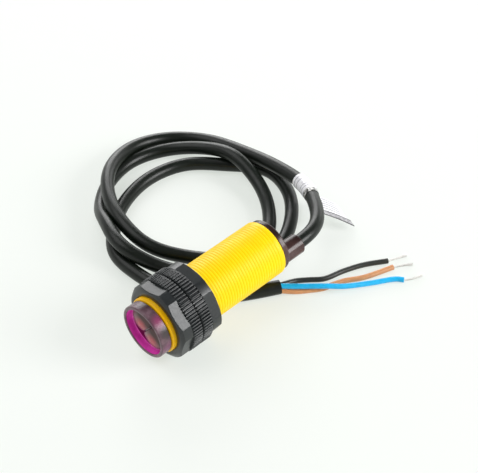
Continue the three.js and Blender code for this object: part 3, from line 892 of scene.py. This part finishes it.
def make_lens(name, side):
    """A domed lens with a straight edge towards the divider, on one side of the cap."""
    facets = 72
    angles = [i * TAU / facets for i in range(facets)]
    reaches = [lens_reach(angle, side) for angle in angles]
    middle = side * LENS["offset"]
    floor = LENS_CAP["floor"]

    def ring(share, sink=None):
        points = []
        for angle, reach in zip(angles, reaches):
            out = reach * share
            bulge = math.sqrt(max(0, 1 - (0.93 * out / LENS["radius"]) ** 2))
            height = 0.12 + LENS["height"] * bulge if sink is None else sink
            points.append((middle + out * math.cos(angle), floor - height, out * math.sin(angle)))
        return np.array(points)

    rings = [ring(share) for share in (0.04, 0.15, 0.3, 0.45, 0.6, 0.72, 0.82, 0.9, 0.95)]
    edge = ring(1.0)
    edge[:, 1] += 0.08
    rings += [edge, ring(1.02, 0.05), ring(1.04, -0.1)]
    lens = skin(name, rings, WORKS, sharp=70)
    centre = WORKS @ Vector((middle, floor, 0))
    return settle(lens, "housing", "infrared_window", [], lens_paint(f"{name} tint", centre))


def make_divider():
    """The thin rib between the two lenses, with a small hook at its middle."""
    floor = LENS_CAP["floor"]
    half_length = 3.6
    rings = []
    for k in range(25):
        z = -half_length + 2 * half_length * k / 24
        half = 0.16 + 0.1 * math.exp(-((z - 0.6) / 1.2) ** 2)
        top = floor - 0.2 - 0.75 * math.exp(-((z / 2.4) ** 4))
        corners = [(-half, floor + 0.05), (-half, top + 0.06), (-half * 0.5, top)]
        corners += [(half * 0.5, top), (half, top + 0.06), (half, floor + 0.05)]
        rings.append(np.array([(x, y, z) for x, y in corners]))
    divider = skin("lens_divider", rings, WORKS, sharp=50)
    tint = smoked("lens divider tint", rgb(66, 44, 52), rgb(104, 80, 90), 0.15, 1.5)
    return settle(divider, "housing", "infrared_window", [], tint)


# ---------------------------------------------------------------- end cap
def make_end_cap():
    """The rear plate with its skirt, a hole for the trimmer's screw, and the cable's boss."""
    radius, start, end = END_CAP["radius"], END_CAP["start"], END_CAP["end"]
    outline = rounded([
        (0.4, start + 0.5, 0), (6.6, start + 0.5, 0.3), (6.6, 41.5, 0.1), (7.4, 41.5, 0.2),
        (7.4, start - 0.1, 0.05), (radius, start - 0.1, 0.25), (radius, end, 0.6), (0.4, end, 0),
    ], 6)
    cap = turned("end_cap_plate", outline, WORKS, 128)
    for radius_out, across, height in ((TRIMMER["hole"], TRIMMER["across"], TRIMMER["height"]),
                                       (BOSS["bore"], BOSS["offset"], 0.0)):
        drill = [(0.1, 44), (radius_out, 44), (radius_out, 49), (0.1, 49)]
        cut_away(cap, turned("drill", drill, WORKS, 48, across, height))
    boss_outline = rounded([
        (BOSS["bore"], end - 0.3, 0), (BOSS["radius"] + 0.5, end - 0.3, 0.05),
        (BOSS["radius"], end + 0.7, 0.5), (BOSS["radius"], BOSS["end"], 0.35),
        (BOSS["bore"], BOSS["end"], 0.25), (BOSS["bore"], end - 0.3, 0),
    ], 6)
    boss = turned("end_cap_boss", boss_outline, WORKS, 72, BOSS["offset"])
    smoky = end_cap_paint()
    settle(cap, "housing", "smoky_plastic", ["end_cap"], smoky)
    settle(boss, "housing", "smoky_plastic", [], smoky)


def end_cap_paint():
    """Smoky brown translucent plastic, with painted shade darker on top and painted light making it lighter
    and greyer low on its sides.
    """
    paint = Paint("smoky end cap", 0.22, Specular_IOR_Level=0.3)
    # Painted light and shade: the tone runs from dark on top to lighter and greyer low on the sides.
    down = WORKS @ Vector((0, 51, 2))
    side = paint.along(down, (0.55, -0.5, -0.6), 5 * MM)
    tone = paint.ramp(side, [(0.0, rgb(40, 24, 22)), (0.5, rgb(66, 46, 43)), (1.0, rgb(84, 64, 61))], True)
    cloud = paint.ramp(paint.noise(1.8, 3), [(0.35, (0.78, 0.74, 0.74, 1)), (0.65, (1, 1, 1, 1))])
    paint.color(paint.mix(1.0, tone, cloud, "MULTIPLY"))
    paint.relief((paint.noise(2, 2), 0.008), (paint.noise(0.4, 3), 0.001))
    return paint.material


make_barrel()
dark_nylon = nut_plastic()
make_nut("front_nut", FRONT_NUT, dark_nylon)
make_nut("rear_nut", REAR_NUT, dark_nylon)
make_lens_cap()
make_lens("lens_emitter", -1)
make_lens("lens_receiver", 1)
make_divider()
make_end_cap()


# ---------------------------------------------------------------- the works: CAD nodes with better materials
def board_paint():
    """Green laminate: woven glass under the varnish."""
    paint = Paint("board laminate", 0.3, Coat_Weight=0.3)
    paint.color(paint.ramp(paint.noise(0.5, 4), [(0.3, rgb(18, 82, 42)), (0.7, rgb(36, 116, 64))]))
    paint.relief((paint.noise(0.35, 3, (1, 3, 1)), 0.004), (paint.noise(0.35, 3, (3, 1, 1)), 0.004))
    return paint.material


def paint_works():
    chip_black = moulded("chip epoxy", rgb(26, 26, 28), 0.5, 0.15, 0.003)
    holder_black = moulded("holder black", rgb(20, 20, 22), 0.6)
    window = smoked("emitter tint", rgb(60, 44, 92), rgb(84, 66, 120))
    photodiode = smoked("photodiode tint", rgb(18, 14, 20), rgb(34, 26, 36))
    finishes = {
        "optics_holder": holder_black,
        "emitter_led": window,
        "receiver_photodiode": photodiode,
        "circuit_board": board_paint(),
        "signal_ic": chip_black,
        "output_transistor": chip_black,
        "voltage_regulator": chip_black,
        "electrolytic_capacitor": metal("capacitor can", rgb(186, 188, 192), 0.3),
        "indicator_led": smoked("indicator red", rgb(160, 14, 14), rgb(214, 40, 34)),
        "trimmer_housing": moulded("trimmer blue", rgb(38, 86, 170), 0.35),
        "trimmer_screw": metal("screw brass", rgb(198, 160, 82), 0.3),
        "trimmer_wiper": moulded("wiper white", rgb(224, 220, 208), 0.45),
        "lead_brown": bpy.data.materials["brown insulation"],
        "lead_black": bpy.data.materials["black insulation"],
        "lead_blue": bpy.data.materials["blue insulation"],
    }
    ceramic = moulded("chip ceramic", rgb(170, 130, 84), 0.4)
    for i in (1, 2):
        finishes[f"ceramic_capacitor_{i}"] = ceramic
    for i in (1, 2, 3, 4):
        finishes[f"resistor_{i}"] = chip_black
    for node, material in finishes.items():
        frame["nodes"][node].material_slots[0].material = material


paint_works()


# ---------------------------------------------------------------- floor and lights
def make_floor():
    """A white floor that glows a little, as an overexposed studio sheet looks."""
    mesh = bpy.data.meshes.new("floor")
    half = 3.0
    corners = [(-half, -half, 0), (half, -half, 0), (half, half, 0), (-half, half, 0)]
    mesh.from_pydata(corners, [], [(0, 1, 2, 3)])
    floor = bpy.data.objects.new("floor", mesh)
    bpy.context.scene.collection.objects.link(floor)
    paint = Paint("floor white", 0.7)
    paint.shader.inputs["Base Color"].default_value = (0.3, 0.3, 0.3, 1)
    paint.shader.inputs["Specular IOR Level"].default_value = 0.1
    paint.shader.inputs["Emission Color"].default_value = (0.945, 1.0, 0.935, 1)
    paint.shader.inputs["Emission Strength"].default_value = 0.63
    floor.data.materials.append(paint.material)


def add_softbox(name, direction, distance, size, power):
    """A rectangular lamp, metres and watts, in a direction from the origin and facing it."""
    data = bpy.data.lights.new(name, "AREA")
    data.shape = "RECTANGLE"
    data.size, data.size_y = size
    data.energy = power
    light = bpy.data.objects.new(name, data)
    direction = Vector(direction).normalized()
    light.location = direction * distance
    light.rotation_euler = direction.to_track_quat("Z", "Y").to_euler()
    bpy.context.scene.collection.objects.link(light)


def make_world():
    """A white room that is bright low down and dim overhead."""
    world = bpy.data.worlds.new("studio")
    bpy.context.scene.world = world
    world.use_nodes = True
    tree = world.node_tree
    place = tree.nodes.new("ShaderNodeTexCoord").outputs["Generated"]
    split = tree.nodes.new("ShaderNodeSeparateXYZ")
    tree.links.new(place, split.inputs["Vector"])
    ramp = tree.nodes.new("ShaderNodeValToRGB")
    stops = ramp.color_ramp.elements
    stops[0].position = 0.1
    stops[0].color = (1, 1, 1, 1)
    stops[1].position = 0.5
    stops[1].color = (0.22, 0.22, 0.23, 1)
    tree.links.new(split.outputs["Z"], ramp.inputs["Fac"])
    background = tree.nodes["Background"]
    background.inputs["Strength"].default_value = 0.95
    tree.links.new(ramp.outputs["Color"], background.inputs["Color"])


make_floor()
make_world()
add_softbox("key_right", (0.71, 0.52, 0.48), 0.9, (0.45, 0.45), 7.6)
add_softbox("key_left", (-0.77, 0.52, 0.38), 0.9, (0.5, 0.5), 3.6)
add_softbox("back_strip", (-0.42, 0.87, 0.26), 1.2, (1.2, 0.3), 2.6)
add_softbox("overhead", (-0.45, -0.3, 0.84), 1.3, (1.1, 1.1), 8.0)
bpy.context.scene.view_settings.view_transform = "Standard"
